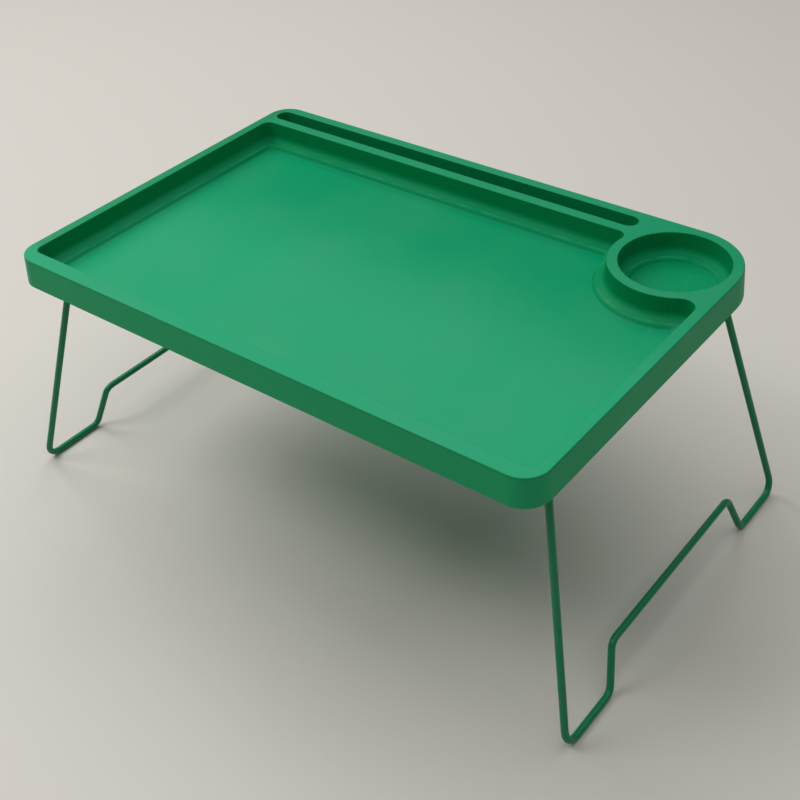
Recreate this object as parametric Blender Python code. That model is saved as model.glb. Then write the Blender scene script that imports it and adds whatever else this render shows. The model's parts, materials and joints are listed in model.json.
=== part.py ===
"""Folding tray table: a moulded tray with a cup well and a slot, on two folding wire legs.

Metres, +Z up. X runs along the tray, Y across it, and the origin is on the floor below the tray's centre.
The cup well is in the +X +Y corner, the slot runs along the +Y rim, and the legs stand open.
"""

import math

import bmesh
import bpy
from mathutils import Matrix, Vector

# Tray, overall
TRAY_LENGTH = 0.560
TRAY_WIDTH = 0.370
TABLE_HEIGHT = 0.260
SKIRT_HEIGHT = 0.027
SKIRT_FLARE = 0.0019
WALL = 0.0025
CORNER_RADIUS = 0.022
TOP_EDGE_RADIUS = 0.0009

# Rim: the flat band between the outside edge and each well
RIM_SIDE = 0.010
RIM_FRONT = 0.0155
RIM_BACK = 0.0105
RIM_BEHIND_RECESS = 0.011
RING_WIDTH = 0.010

# Wells
CUP_RADIUS = 0.0485
SLOT_WIDTH = 0.0175
SLOT_LEFT_MARGIN = 0.009
SLOT_TO_RING = 0.0005
RECESS_CORNER_RADIUS = 0.008
POCKET_RADIUS = 0.0115
FLOOR_CORNER_RADIUS = 0.006
FLOOR_DEPTH = 0.0247
SHELF_DEPTH = 0.0208
SHELF_WIDTH = 0.0010
STEP_WIDTH = 0.0037
COVE_RADIUS = 0.0075
WELL_DRAFT = 0.0003
SLOT_FLOOR_RADIUS = 0.002

# Ribs under the tray
RIB_THICKNESS = 0.002
RIB_BITE = 0.0008
CHANNEL_RIB_DEPTH = 0.020
CHANNEL_RIB_SPACING = 0.068
FLOOR_RIB_SPACING = 0.052
FLOOR_RIB_MARGIN = 0.012

# Wire legs
WIRE_DIAMETER = 0.0065
LEG_SPLAY = math.radians(13.24)
LEG_FLARE = math.radians(11.6)
PIVOT_INSET = 0.017
LEG_TOP_INSET = 0.045
PIN_LENGTH = 0.032
PIN_BEND_RADIUS = 0.008
FOOT_BEND_RADIUS = 0.0125
RISE_BEND_RADIUS = 0.010
RISE_HEIGHT = 0.042
RISE_HALF_SPAN = 0.1115
RISE_ANGLE = math.radians(70)
HINGE_BELOW_FLOOR = 0.0038
FOLDED_BAR_GAP = 0.00033

# Hinge caps, stop lugs and their screws
RUNNING_GAP = 0.00015
GAP = 0.0003
CAP_WIDTH = 0.026
CAP_THICKNESS = 0.0065
CAP_TO_BEND = 0.0016
CAP_END_MARGIN = 0.003
CAP_EDGE_RADIUS = 0.002
LUG_THICKNESS = 0.0034
LUG_START = 0.003
LUG_END = 0.012
LUG_REACH = 0.0145
LUG_BITE = 0.004
BOSS_RISE = 0.014
BOSS_SHARE_OF_WALL = 0.35

# Storage clips
CLIP_LENGTH = 0.024
CLIP_WIDTH = 0.030
CLIP_BASE = 0.002
CLIP_POST_RADIUS = 0.0045
CLIP_JAW = 0.002
CLIP_PLAY = 0.0005
CLIP_LIP = 0.00025
CLIP_MOUTH_DEPTH = 0.0025

# Screws
SCREW_HEAD_RADIUS = 0.0032
SCREW_HEAD_HEIGHT = 0.0022
SCREW_SHANK_RADIUS = 0.0014
SCREW_TIP = 0.0015
SCREW_BITE = 0.0044
RECESS_ARM = 0.0019
RECESS_ARM_WIDTH = 0.0009
RECESS_DEPTH = 0.0012
CAP_SCREW_SPAN = 0.018
CLIP_SCREW_SPAN = 0.021

# Fineness of round shapes
FILLET_STEPS = 6
CORNER_STEPS = 12
RING_STEPS = 16
CUP_STEPS = 48
EDGE_STEPS = 3
STEP_STEPS = 5
WIRE_BEND_STEPS = 6
WIRE_BEVEL_RESOLUTION = 4
SCREW_STEPS = 12

GREEN = (0.022, 0.270, 0.118)
WIRE_GREEN = (0.010, 0.190, 0.075)
ZINC = (0.55, 0.56, 0.58)

# Sizes that follow from the ones above
HALF_LENGTH = TRAY_LENGTH / 2
HALF_WIDTH = TRAY_WIDTH / 2
RING_RADIUS = CUP_RADIUS + RING_WIDTH
RING_CENTRE = Vector((HALF_LENGTH - RING_RADIUS, HALF_WIDTH - RING_RADIUS))
RECESS_X = HALF_LENGTH - RIM_SIDE
RECESS_FRONT = -HALF_WIDTH + RIM_FRONT
SLOT_BACK = HALF_WIDTH - RIM_BACK
SLOT_FRONT = SLOT_BACK - SLOT_WIDTH
RECESS_BACK = SLOT_FRONT - RIM_BEHIND_RECESS
SLOT_LEFT = -HALF_LENGTH + SLOT_LEFT_MARGIN
SLOT_RIGHT = RING_CENTRE.x - RING_RADIUS + SLOT_TO_RING
SKIRT_BOTTOM = TABLE_HEIGHT - SKIRT_HEIGHT
CEILING = TABLE_HEIGHT - WALL
FLOOR_TOP = TABLE_HEIGHT - FLOOR_DEPTH
FLOOR_UNDERSIDE = FLOOR_TOP - WALL
SHELF_TOP = TABLE_HEIGHT - SHELF_DEPTH
FLOOR_INSET = COVE_RADIUS + SHELF_WIDTH + STEP_WIDTH

WIRE_RADIUS = WIRE_DIAMETER / 2
PIVOT_X = HALF_LENGTH - PIVOT_INSET
PIVOT_Z = min(SKIRT_BOTTOM, FLOOR_UNDERSIDE - HINGE_BELOW_FLOOR)
LEG_TOP_Y = HALF_WIDTH - LEG_TOP_INSET
LEG_REACH = (PIVOT_Z - WIRE_RADIUS) / math.cos(LEG_SPLAY)
PIN_END_Y = LEG_TOP_Y - PIN_LENGTH
BEND_START_Y = LEG_TOP_Y - PIN_BEND_RADIUS * math.tan((math.pi / 2 - LEG_FLARE) / 2)
CAP_OUTER_Y = BEND_START_Y - CAP_TO_BEND
CAP_INNER_Y = PIN_END_Y + CAP_END_MARGIN
CAP_MIDDLE_Y = (CAP_OUTER_Y + CAP_INNER_Y) / 2
CAP_TOP = PIVOT_Z - RUNNING_GAP
CAP_BOTTOM = CAP_TOP - CAP_THICKNESS
BOSS_BOTTOM = PIVOT_Z + RUNNING_GAP
GROOVE_RADIUS = WIRE_RADIUS + RUNNING_GAP
CLIP_TOP = BOSS_BOTTOM - GAP
CLIP_BASE_BOTTOM = CLIP_TOP - CLIP_BASE
BAR_REACH = LEG_REACH - RISE_HEIGHT / math.cos(LEG_SPLAY)
FOLDED_BAR_Z = CLIP_BASE_BOTTOM - FOLDED_BAR_GAP - WIRE_RADIUS
CLIP_X = PIVOT_X - math.sqrt(BAR_REACH**2 - (PIVOT_Z - FOLDED_BAR_Z) ** 2)


def clear_scene():
    for old in list(bpy.data.objects):
        bpy.data.objects.remove(old, do_unlink=True)


def material(name, colour, roughness, metallic=0.0):
    made = bpy.data.materials.new(name)
    made.use_nodes = True
    shader = made.node_tree.nodes["Principled BSDF"]
    shader.inputs["Base Color"].default_value = (*colour, 1.0)
    shader.inputs["Roughness"].default_value = roughness
    shader.inputs["Metallic"].default_value = metallic
    return made


def add_object(name, data, finish=None):
    obj = bpy.data.objects.new(name, data)
    bpy.context.scene.collection.objects.link(obj)
    if finish:
        data.materials.append(finish)
    return obj


def mesh_from(bm, name, smooth_angle=math.radians(35)):
    bmesh.ops.recalc_face_normals(bm, faces=bm.faces)
    mesh = bpy.data.meshes.new(name)
    bm.to_mesh(mesh)
    bm.free()
    mesh.shade_smooth()
    mesh.set_sharp_from_angle(angle=smooth_angle)
    return mesh


def helper(name, bm):
    """An object that only cuts or adds to another one."""
    obj = add_object(name, mesh_from(bm, name))
    obj.hide_render = True
    obj.display_type = "WIRE"
    return obj


def combine(obj, other, operation):
    modifier = obj.modifiers.new(other.name, "BOOLEAN")
    modifier.operation = operation
    modifier.solver = "EXACT"
    modifier.object = other


def arc(centre, radius, start, end, steps):
    """Points along an arc, from angle start to angle end in radians, both included."""
    turned = [start + (end - start) * step / steps for step in range(steps + 1)]
    return [Vector((centre[0] + radius * math.cos(a), centre[1] + radius * math.sin(a))) for a in turned]


def corner_arc(corner, radius, quadrant, steps=FILLET_STEPS):
    """The quarter arc that rounds a square corner. Quadrant 0 is +X +Y, and they run anticlockwise."""
    inward = ((-1, -1), (1, -1), (1, 1), (-1, 1))[quadrant]
    centre = (corner[0] + inward[0] * radius, corner[1] + inward[1] * radius)
    start = quadrant * math.pi / 2
    return arc(centre, radius, start, start + math.pi / 2, steps)


def tray_outline(inset):
    """The outside of the tray, moved inwards by inset."""
    x = HALF_LENGTH - inset
    y = HALF_WIDTH - inset
    radius = CORNER_RADIUS - inset
    points = corner_arc((x, y), RING_RADIUS - inset, 0, RING_STEPS)
    points += corner_arc((-x, y), radius, 1, CORNER_STEPS)
    points += corner_arc((-x, -y), radius, 2, CORNER_STEPS)
    points += corner_arc((x, -y), radius, 3, CORNER_STEPS)
    return points


def recess_outline(inset):
    """The big recess, moved inwards by inset: a rectangle whose +X +Y corner runs round the cup's ring."""
    left = -RECESS_X + inset
    right = RECESS_X - inset
    front = RECESS_FRONT + inset
    back = RECESS_BACK - inset
    ring = RING_RADIUS + inset
    radius = max(RECESS_CORNER_RADIUS - inset, FLOOR_CORNER_RADIUS)
    pocket = max(POCKET_RADIUS - inset, FLOOR_CORNER_RADIUS)

    pocket_x = right - pocket
    pocket_drop = math.sqrt((ring + pocket) ** 2 - (pocket_x - RING_CENTRE.x) ** 2)
    pocket_centre = Vector((pocket_x, RING_CENTRE.y - pocket_drop))
    back_y = back - radius
    back_run = math.sqrt((ring + radius) ** 2 - (back_y - RING_CENTRE.y) ** 2)
    back_centre = Vector((RING_CENTRE.x - back_run, back_y))

    to_ring = RING_CENTRE - pocket_centre
    pocket_end = math.atan2(to_ring.y, to_ring.x)
    to_ring = RING_CENTRE - back_centre
    back_start = math.atan2(to_ring.y, to_ring.x)

    points = arc(pocket_centre, pocket, 0, pocket_end, FILLET_STEPS)
    points += arc(RING_CENTRE, ring, pocket_end - math.pi, back_start - math.pi, RING_STEPS)[1:-1]
    points += arc(back_centre, radius, back_start, math.pi / 2, FILLET_STEPS)
    points += corner_arc((left, back), radius, 1)
    points += corner_arc((left, front), radius, 2)
    points += corner_arc((right, front), radius, 3)
    return points


def cup_outline(inset):
    return arc(RING_CENTRE, CUP_RADIUS - inset, 0, 2 * math.pi, CUP_STEPS)[:-1]


def slot_outline(inset):
    radius = SLOT_WIDTH / 2 - inset
    middle = (SLOT_FRONT + SLOT_BACK) / 2
    left = (SLOT_LEFT + SLOT_WIDTH / 2, middle)
    right = (SLOT_RIGHT - SLOT_WIDTH / 2, middle)
    steps = 2 * FILLET_STEPS
    points = arc(right, radius, -math.pi / 2, math.pi / 2, steps)
    points += arc(left, radius, math.pi / 2, 3 * math.pi / 2, steps)
    return points


def rounded_top_edge(side):
    """Rows (inset, height) round the top edge. Side is 1 outside the tray and -1 on a well's edge."""
    rows = []
    for step in range(EDGE_STEPS + 1):
        angle = math.pi / 2 * step / EDGE_STEPS
        inset = TOP_EDGE_RADIUS * (1 - math.sin(angle))
        height = TABLE_HEIGHT - TOP_EDGE_RADIUS * (1 - math.cos(angle))
        rows.append((side * inset, height))
    return rows


def well_rows():
    """Rows (inset, height) down the inside of a well: wall, cove, narrow shelf and soft step to the floor."""
    rows = rounded_top_edge(-1)
    cove_top = SHELF_TOP + COVE_RADIUS
    for step in range(FILLET_STEPS - 1):
        angle = math.pi / 2 * step / (FILLET_STEPS - 2)
        inset = WELL_DRAFT + (COVE_RADIUS - WELL_DRAFT) * (1 - math.cos(angle))
        rows.append((inset, cove_top - COVE_RADIUS * math.sin(angle)))
    shelf_end = COVE_RADIUS + SHELF_WIDTH
    for step in range(STEP_STEPS + 1):
        across = step / STEP_STEPS
        down = across * across * (3 - 2 * across)
        rows.append((shelf_end + STEP_WIDTH * across, SHELF_TOP + (FLOOR_TOP - SHELF_TOP) * down))
    return rows


def slot_rows():
    rows = rounded_top_edge(-1)
    for step in range(EDGE_STEPS + 1):
        angle = math.pi / 2 * step / EDGE_STEPS
        inset = WELL_DRAFT + SLOT_FLOOR_RADIUS * (1 - math.cos(angle))
        rows.append((inset, FLOOR_TOP + SLOT_FLOOR_RADIUS * (1 - math.sin(angle))))
    return rows


def under_rows(depth):
    """The well's section moved down into the material by depth, from the wall to the floor."""
    cove_top = SHELF_TOP + COVE_RADIUS
    radius = COVE_RADIUS + depth
    rows = []
    for step in range(EDGE_STEPS + 1):
        angle = math.pi / 2 * step / EDGE_STEPS
        rows.append((COVE_RADIUS - radius * math.cos(angle), cove_top - radius * math.sin(angle)))
    rows.append((COVE_RADIUS + SHELF_WIDTH - depth / 2, SHELF_TOP - depth))
    rows.append((FLOOR_INSET - depth / 2, FLOOR_TOP - depth))
    return rows


def slot_under_rows():
    return [(-WALL, FLOOR_UNDERSIDE + WALL), (-WALL / 2, FLOOR_UNDERSIDE)]


def add_ring(bm, outline, row):
    inset, height = row
    return [bm.verts.new((p.x, p.y, height)) for p in outline(inset)]


def bridge(bm, first, second):
    for i in range(len(first)):
        j = (i + 1) % len(first)
        bm.faces.new((first[i], first[j], second[j], second[i]))


def add_rows(bm, outline, rows):
    """Rings of vertices for the rows, joined by faces. It returns the first and last ring."""
    rings = [add_ring(bm, outline, row) for row in rows]
    for first, second in zip(rings, rings[1:]):
        bridge(bm, first, second)
    return rings[0], rings[-1]


def fill_between(bm, rings):
    """A flat face inside the first ring, with the other rings as holes in it."""
    edges = []
    for ring in rings:
        for i in range(len(ring)):
            pair = (ring[i], ring[(i + 1) % len(ring)])
            edges.append(bm.edges.get(pair) or bm.edges.new(pair))
    bmesh.ops.triangle_fill(bm, use_beauty=True, edges=edges, normal=(0, 0, 1))


def tray_shell():
    """The tray's skin, one wall thick: rim, skirt, three wells and the open channels below the rim."""
    bm = bmesh.new()
    skirt = rounded_top_edge(1)
    skirt.append((-SKIRT_FLARE, SKIRT_BOTTOM))
    skirt.append((WALL - SKIRT_FLARE, SKIRT_BOTTOM))
    skirt.append((WALL, CEILING))
    outer_top, outer_ceiling = add_rows(bm, tray_outline, skirt)
    top = [outer_top]
    ceiling = [outer_ceiling]
    ceiling_row = [(-WALL, CEILING)]
    wells = (
        (recess_outline, well_rows(), under_rows(WALL)),
        (cup_outline, well_rows(), under_rows(WALL)),
        (slot_outline, slot_rows(), slot_under_rows()),
    )
    for outline, inside, underside in wells:
        edge, floor = add_rows(bm, outline, inside)
        roof, underneath = add_rows(bm, outline, ceiling_row + underside)
        top.append(edge)
        ceiling.append(roof)
        fill_between(bm, [floor])
        fill_between(bm, [underneath])
    fill_between(bm, top)
    fill_between(bm, ceiling)
    return bm


def add_box(bm, low, high):
    size = Vector(high) - Vector(low)
    middle = (Vector(high) + Vector(low)) / 2
    bmesh.ops.create_cube(bm, size=1, matrix=Matrix.Translation(middle) @ Matrix.Diagonal((*size, 1)))


def spread(low, high, spacing):
    """Evenly spaced places between low and high, about spacing apart and centred."""
    count = max(1, int((high - low) / spacing))
    step = (high - low) / count
    return [low + step * (i + 0.5) for i in range(count)]


def channel_ribs():
    """Short webs across the channels between the skirt and the wells."""
    bm = bmesh.new()
    low = CEILING - CHANNEL_RIB_DEPTH
    high = CEILING + RIB_BITE
    half = RIB_THICKNESS / 2
    inner_x = RECESS_X + WALL - RIB_BITE
    outer_x = HALF_LENGTH - WALL + SKIRT_FLARE
    outer_y = HALF_WIDTH - WALL + SKIRT_FLARE
    ring_front = RING_CENTRE.y - RING_RADIUS - POCKET_RADIUS
    for side, far in ((-1, RECESS_BACK), (1, ring_front)):
        ends = sorted((side * inner_x, side * outer_x))
        for y in spread(RECESS_FRONT, far, CHANNEL_RIB_SPACING):
            add_box(bm, (ends[0], y - half, low), (ends[1], y + half, high))
    across = (
        (-outer_y, RECESS_FRONT - WALL + RIB_BITE, RECESS_X),
        (RECESS_BACK + WALL - RIB_BITE, SLOT_FRONT - WALL + RIB_BITE, SLOT_RIGHT - SLOT_WIDTH),
        (SLOT_BACK + WALL - RIB_BITE, outer_y, SLOT_RIGHT - SLOT_WIDTH),
    )
    for front, back, right in across:
        for x in spread(-RECESS_X, right, CHANNEL_RIB_SPACING):
            add_box(bm, (x - half, front, low), (x + half, back, high))
    return bm


def floor_rib_grid():
    """Where the low ribs under the floor run: clear of the hinges, the ring and the folding wires."""
    limit_x = PIVOT_X - CAP_WIDTH / 2 - FLOOR_RIB_MARGIN
    front = -CAP_INNER_Y
    back = RING_CENTRE.y - RING_RADIUS - FLOOR_RIB_MARGIN
    return limit_x, front, back


def lengthwise_ribs():
    """Low ribs along X. The one on the middle line joins the clips' screw posts."""
    bm = bmesh.new()
    limit_x, front, back = floor_rib_grid()
    half = RIB_THICKNESS / 2
    rows = spread(front, -CLIP_LENGTH / 2, FLOOR_RIB_SPACING)
    rows += [0.0]
    rows += spread(CLIP_LENGTH / 2, back, FLOOR_RIB_SPACING)
    for y in rows:
        add_box(bm, (-limit_x, y - half, BOSS_BOTTOM), (limit_x, y + half, FLOOR_UNDERSIDE + RIB_BITE))
    return bm


def crosswise_ribs():
    """Low ribs along Y, clear of the clips."""
    bm = bmesh.new()
    limit_x, front, back = floor_rib_grid()
    half = RIB_THICKNESS / 2
    clip_room = (CLIP_WIDTH + RIB_THICKNESS) / 2
    for x in spread(-limit_x, limit_x, FLOOR_RIB_SPACING):
        if abs(abs(x) - CLIP_X) > clip_room:
            add_box(bm, (x - half, front, BOSS_BOTTOM), (x + half, back, FLOOR_UNDERSIDE + RIB_BITE))
    return bm


def add_prism(bm, section, low_y, high_y, side_x=1, side_y=1):
    """A section of (x, z) points, drawn out along Y. The sides turn it into the other corners' copies."""
    ends = []
    for y in (low_y, high_y):
        ends.append([bm.verts.new((side_x * x, side_y * y, z)) for x, z in section])
    bridge(bm, ends[0], ends[1])
    bm.faces.new(ends[0])
    bm.faces.new(ends[1])


def skirt_middle_x(height):
    """Where the middle of the end skirt's wall lies at a height."""
    down = (TABLE_HEIGHT - height) / SKIRT_HEIGHT
    return HALF_LENGTH - WALL / 2 + SKIRT_FLARE * down


def boss_section():
    """The block above a hinge pin, from the middle of the well's wall and floor to the middle of the skirt.

    Below the skirt it is no wider than the cap.
    """
    depth = BOSS_SHARE_OF_WALL * WALL
    section = [(RECESS_X - inset, height) for inset, height in under_rows(depth)]
    boss_top = BOSS_BOTTOM + BOSS_RISE
    boss_top = max(boss_top, SHELF_TOP + COVE_RADIUS + RIB_THICKNESS)
    inner_x = PIVOT_X - CAP_WIDTH / 2
    outer_x = PIVOT_X + CAP_WIDTH / 2
    step = SKIRT_BOTTOM + RIB_BITE
    section.insert(0, (RECESS_X + depth, boss_top))
    section.append((inner_x, FLOOR_TOP - depth))
    section.append((inner_x, BOSS_BOTTOM))
    section.append((outer_x, BOSS_BOTTOM))
    section.append((outer_x, step))
    section.append((skirt_middle_x(step), step))
    section.append((skirt_middle_x(boss_top), boss_top))
    return section


def add_cylinder(bm, base, axis, radius, length, steps=SCREW_STEPS):
    turn = Vector((0, 0, 1)).rotation_difference(Vector(axis)).to_matrix().to_4x4()
    middle = Vector(base) + Vector(axis) * length / 2
    bmesh.ops.create_cone(
        bm,
        cap_ends=True,
        segments=steps,
        radius1=radius,
        radius2=radius,
        depth=length,
        matrix=Matrix.Translation(middle) @ turn,
    )


def corners():
    """The four hinge corners: a name and the signs of X and Y."""
    return (("front_left", -1, -1), ("back_left", -1, 1), ("front_right", 1, -1), ("back_right", 1, 1))


def cap_screw_places(side_x, side_y):
    places_x = (PIVOT_X - CAP_SCREW_SPAN / 2, PIVOT_X + CAP_SCREW_SPAN / 2)
    return [(side_x * x, side_y * CAP_MIDDLE_Y) for x in places_x]


def clip_screw_places(side_x):
    return [(side_x * CLIP_X + shift, 0.0) for shift in (-CLIP_SCREW_SPAN / 2, CLIP_SCREW_SPAN / 2)]


def tray_bosses():
    bm = bmesh.new()
    section = boss_section()
    for _, side_x, side_y in corners():
        add_prism(bm, section, CAP_INNER_Y, CAP_OUTER_Y, side_x, side_y)
    return bm


def tray_clip_posts():
    """A round post over each screw of the storage clips."""
    bm = bmesh.new()
    height = FLOOR_UNDERSIDE + RIB_BITE - BOSS_BOTTOM
    for side_x in (-1, 1):
        for x, y in clip_screw_places(side_x):
            add_cylinder(bm, (x, y, BOSS_BOTTOM), (0, 0, 1), CLIP_POST_RADIUS, height, 2 * SCREW_STEPS)
    return bm


def tray_cuts():
    """The pins' grooves in the bosses, and every screw's pilot hole."""
    bm = bmesh.new()
    margin = CAP_TO_BEND / 2
    length = CAP_OUTER_Y - CAP_INNER_Y + 2 * margin
    screws = clip_screw_places(-1) + clip_screw_places(1)
    for _, side_x, side_y in corners():
        base = (side_x * PIVOT_X, side_y * (CAP_INNER_Y - margin), PIVOT_Z)
        add_cylinder(bm, base, (0, side_y, 0), GROOVE_RADIUS, length, 2 * SCREW_STEPS)
        screws += cap_screw_places(side_x, side_y)
    for x, y in screws:
        base = (x, y, BOSS_BOTTOM - SCREW_BITE)
        add_cylinder(bm, base, (0, 0, 1), SCREW_SHANK_RADIUS + GAP, 2 * SCREW_BITE + GAP)
    return bm


def make_tray(finish):
    tray = add_object("tray_body", mesh_from(tray_shell(), "tray_body"), finish)
    combine(tray, helper("tray_hinge_bosses", tray_bosses()), "UNION")
    combine(tray, helper("tray_channel_ribs", channel_ribs()), "UNION")
    combine(tray, helper("tray_lengthwise_ribs", lengthwise_ribs()), "UNION")
    combine(tray, helper("tray_crosswise_ribs", crosswise_ribs()), "UNION")
    combine(tray, helper("tray_clip_posts", tray_clip_posts()), "UNION")
    combine(tray, helper("tray_grooves_and_pilot_holes", tray_cuts()), "DIFFERENCE")


def rounded_path(places, radii):
    """A path through flat points, with each inner corner rounded to its radius."""
    path = [places[0]]
    for before, corner, after, radius in zip(places, places[1:], places[2:], radii):
        back = (before - corner).normalized()
        ahead = (after - corner).normalized()
        half = back.angle(ahead) / 2
        centre = corner + (back + ahead).normalized() * radius / math.sin(half)
        start = corner + back * radius / math.tan(half) - centre
        end = corner + ahead * radius / math.tan(half) - centre
        total = start.angle_signed(end)
        for step in range(WIRE_BEND_STEPS + 1):
            turn = Matrix.Rotation(-total * step / WIRE_BEND_STEPS, 2)
            path.append(centre + turn @ start)
    path.append(places[-1])
    return path


def leg_path():
    """One leg's wire in its own plane: (across, down) from the middle of the hinge line."""
    foot_y = LEG_TOP_Y + LEG_REACH * math.tan(LEG_FLARE)
    slope = (LEG_REACH - BAR_REACH) / 2 / math.tan(RISE_ANGLE)
    half = [
        Vector((PIN_END_Y, 0)),
        Vector((LEG_TOP_Y, 0)),
        Vector((foot_y, LEG_REACH)),
        Vector((RISE_HALF_SPAN + slope, LEG_REACH)),
        Vector((RISE_HALF_SPAN - slope, BAR_REACH)),
    ]
    radii = [PIN_BEND_RADIUS, FOOT_BEND_RADIUS, RISE_BEND_RADIUS, RISE_BEND_RADIUS]
    mirrored = [Vector((-p.x, p.y)) for p in reversed(half)]
    return rounded_path(half + mirrored, radii + radii[::-1])


def make_leg(side, name, finish):
    """A bent wire whose object origin is on its hinge line."""
    hinge = bpy.data.objects.new(name + "_hinge_line", None)
    bpy.context.scene.collection.objects.link(hinge)
    hinge.location = (side * PIVOT_X, 0, PIVOT_Z)
    bpy.context.view_layer.update()
    curve = bpy.data.curves.new(name, "CURVE")
    curve.dimensions = "3D"
    curve.bevel_depth = WIRE_RADIUS
    curve.bevel_resolution = WIRE_BEVEL_RESOLUTION
    curve.use_fill_caps = True
    path = leg_path()
    spline = curve.splines.new("POLY")
    spline.points.add(len(path) - 1)
    for point, place in zip(spline.points, path):
        out = side * place.y * math.sin(LEG_SPLAY)
        point.co = (out, place.x, -place.y * math.cos(LEG_SPLAY), 1)
    leg = add_object(name, curve, finish)
    leg.parent = hinge


def cap_section():
    """The hinge cap's end view: a bar with rounded lower edges and a half-round groove for the pin."""
    half = CAP_WIDTH / 2
    groove = []
    for point in arc((0, PIVOT_Z), GROOVE_RADIUS, math.pi, 2 * math.pi, SCREW_STEPS):
        if point.y < CAP_TOP:
            groove.append((PIVOT_X + point.x, point.y))
    rise = PIVOT_Z - CAP_TOP
    lip = math.sqrt(GROOVE_RADIUS**2 - rise**2)
    section = [(PIVOT_X - half, CAP_TOP), (PIVOT_X - lip, CAP_TOP)]
    section += groove
    section += [(PIVOT_X + lip, CAP_TOP), (PIVOT_X + half, CAP_TOP)]
    for quadrant, side in ((3, 1), (2, -1)):
        corner = (PIVOT_X + side * half, CAP_BOTTOM)
        points = corner_arc(corner, CAP_EDGE_RADIUS, quadrant, EDGE_STEPS)
        section += [(p.x, p.y) for p in reversed(points)]
    return section


def lug_section():
    """The stop that an open leg leans on: a slanted bar on the outer side of the wire."""
    down = Vector((math.sin(LEG_SPLAY), -math.cos(LEG_SPLAY)))
    out = Vector((math.cos(LEG_SPLAY), math.sin(LEG_SPLAY)))
    near = WIRE_RADIUS + GAP
    pivot = Vector((PIVOT_X, PIVOT_Z))
    far = near + LUG_THICKNESS
    places = ((near, LUG_START), (near, LUG_END), (far, LUG_END), (far, LUG_START))
    section = [pivot + out * n + down * v for n, v in places]
    return [(p.x, p.y) for p in section]


def turned_rings(bm, centre, profile):
    """Rings of vertices about a vertical line, joined by faces, from (radius, height) points."""
    rings = []
    for radius, height in profile:
        points = arc(centre, radius, 0, 2 * math.pi, SCREW_STEPS)[:-1]
        rings.append([bm.verts.new((p.x, p.y, height)) for p in points])
    for first, second in zip(rings, rings[1:]):
        bridge(bm, first, second)
    return rings[0], rings[-1]


def screw_hole_cut(place, bottom, top):
    """A clearance hole with a counterbore for the screw's head."""
    bm = bmesh.new()
    head = SCREW_HEAD_RADIUS + GAP
    shank = SCREW_SHANK_RADIUS + GAP
    seat = bottom + SCREW_HEAD_HEIGHT + GAP
    profile = [(head, bottom - GAP), (head, seat), (shank, seat), (shank, top + GAP)]
    first, last = turned_rings(bm, place, profile)
    bm.faces.new(first)
    bm.faces.new(last)
    return bm


def make_cap(name, side_x, side_y, finish):
    bm = bmesh.new()
    add_prism(bm, cap_section(), CAP_INNER_Y, CAP_OUTER_Y, side_x, side_y)
    cap = add_object(name, mesh_from(bm, name), finish)
    bm = bmesh.new()
    add_prism(bm, lug_section(), CAP_OUTER_Y - LUG_BITE, CAP_OUTER_Y + LUG_REACH, side_x, side_y)
    combine(cap, helper(name + "_stop", bm), "UNION")
    for number, place in enumerate(cap_screw_places(side_x, side_y), 1):
        hole = screw_hole_cut(place, CAP_BOTTOM, CAP_TOP)
        combine(cap, helper(f"{name}_hole_{number}", hole), "DIFFERENCE")


def screw_mesh(length):
    """A pan-head screw, head down: its head's outer face is at the origin and its tip at +Z."""
    bm = bmesh.new()
    rim = SCREW_HEAD_HEIGHT / 3
    profile = [
        (SCREW_HEAD_RADIUS - rim, 0.0),
        (SCREW_HEAD_RADIUS, rim),
        (SCREW_HEAD_RADIUS, SCREW_HEAD_HEIGHT),
        (SCREW_SHANK_RADIUS, SCREW_HEAD_HEIGHT),
        (SCREW_SHANK_RADIUS, length - SCREW_TIP),
        (SCREW_SHANK_RADIUS / 4, length),
    ]
    head, tip = turned_rings(bm, (0, 0), profile)
    bm.faces.new(tip)
    half = RECESS_ARM_WIDTH / 2
    cross = []
    for turn in range(4):
        for x, y in ((RECESS_ARM, -half), (RECESS_ARM, half), (half, half)):
            place = Matrix.Rotation(turn * math.pi / 2, 2) @ Vector((x, y))
            cross.append(place)
    mouth = [bm.verts.new((p.x, p.y, 0)) for p in cross]
    bottom = [bm.verts.new((p.x, p.y, RECESS_DEPTH)) for p in cross]
    bridge(bm, mouth, bottom)
    bm.faces.new(bottom)
    fill_between(bm, [head, mouth])
    return mesh_from(bm, "pan_head_screw")


def make_screws(names_and_places, head_z, finish):
    """Screws of one length, their heads at head_z and their tips in the tray."""
    mesh = screw_mesh(BOSS_BOTTOM + SCREW_BITE - head_z)
    mesh.materials.append(finish)
    for name, (x, y) in names_and_places:
        screw = add_object(name, mesh)
        screw.location = (x, y, head_z)


def clip_section():
    """A storage clip's end view: a flat base with two jaws hanging from it, and small lips at the mouth."""
    half = CLIP_WIDTH / 2
    inner = WIRE_RADIUS + CLIP_PLAY
    outer = inner + CLIP_JAW
    jaw_bottom = FOLDED_BAR_Z - WIRE_RADIUS
    lip_top = jaw_bottom + CLIP_MOUTH_DEPTH
    right = [
        (half, CLIP_TOP),
        (half, CLIP_BASE_BOTTOM),
        (outer, CLIP_BASE_BOTTOM),
        (outer, jaw_bottom),
        (inner + CLIP_LIP, jaw_bottom),
        (inner - CLIP_LIP, (jaw_bottom + lip_top) / 2),
        (inner, lip_top),
        (inner, CLIP_BASE_BOTTOM),
    ]
    return right + [(-x, z) for x, z in reversed(right)]


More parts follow.
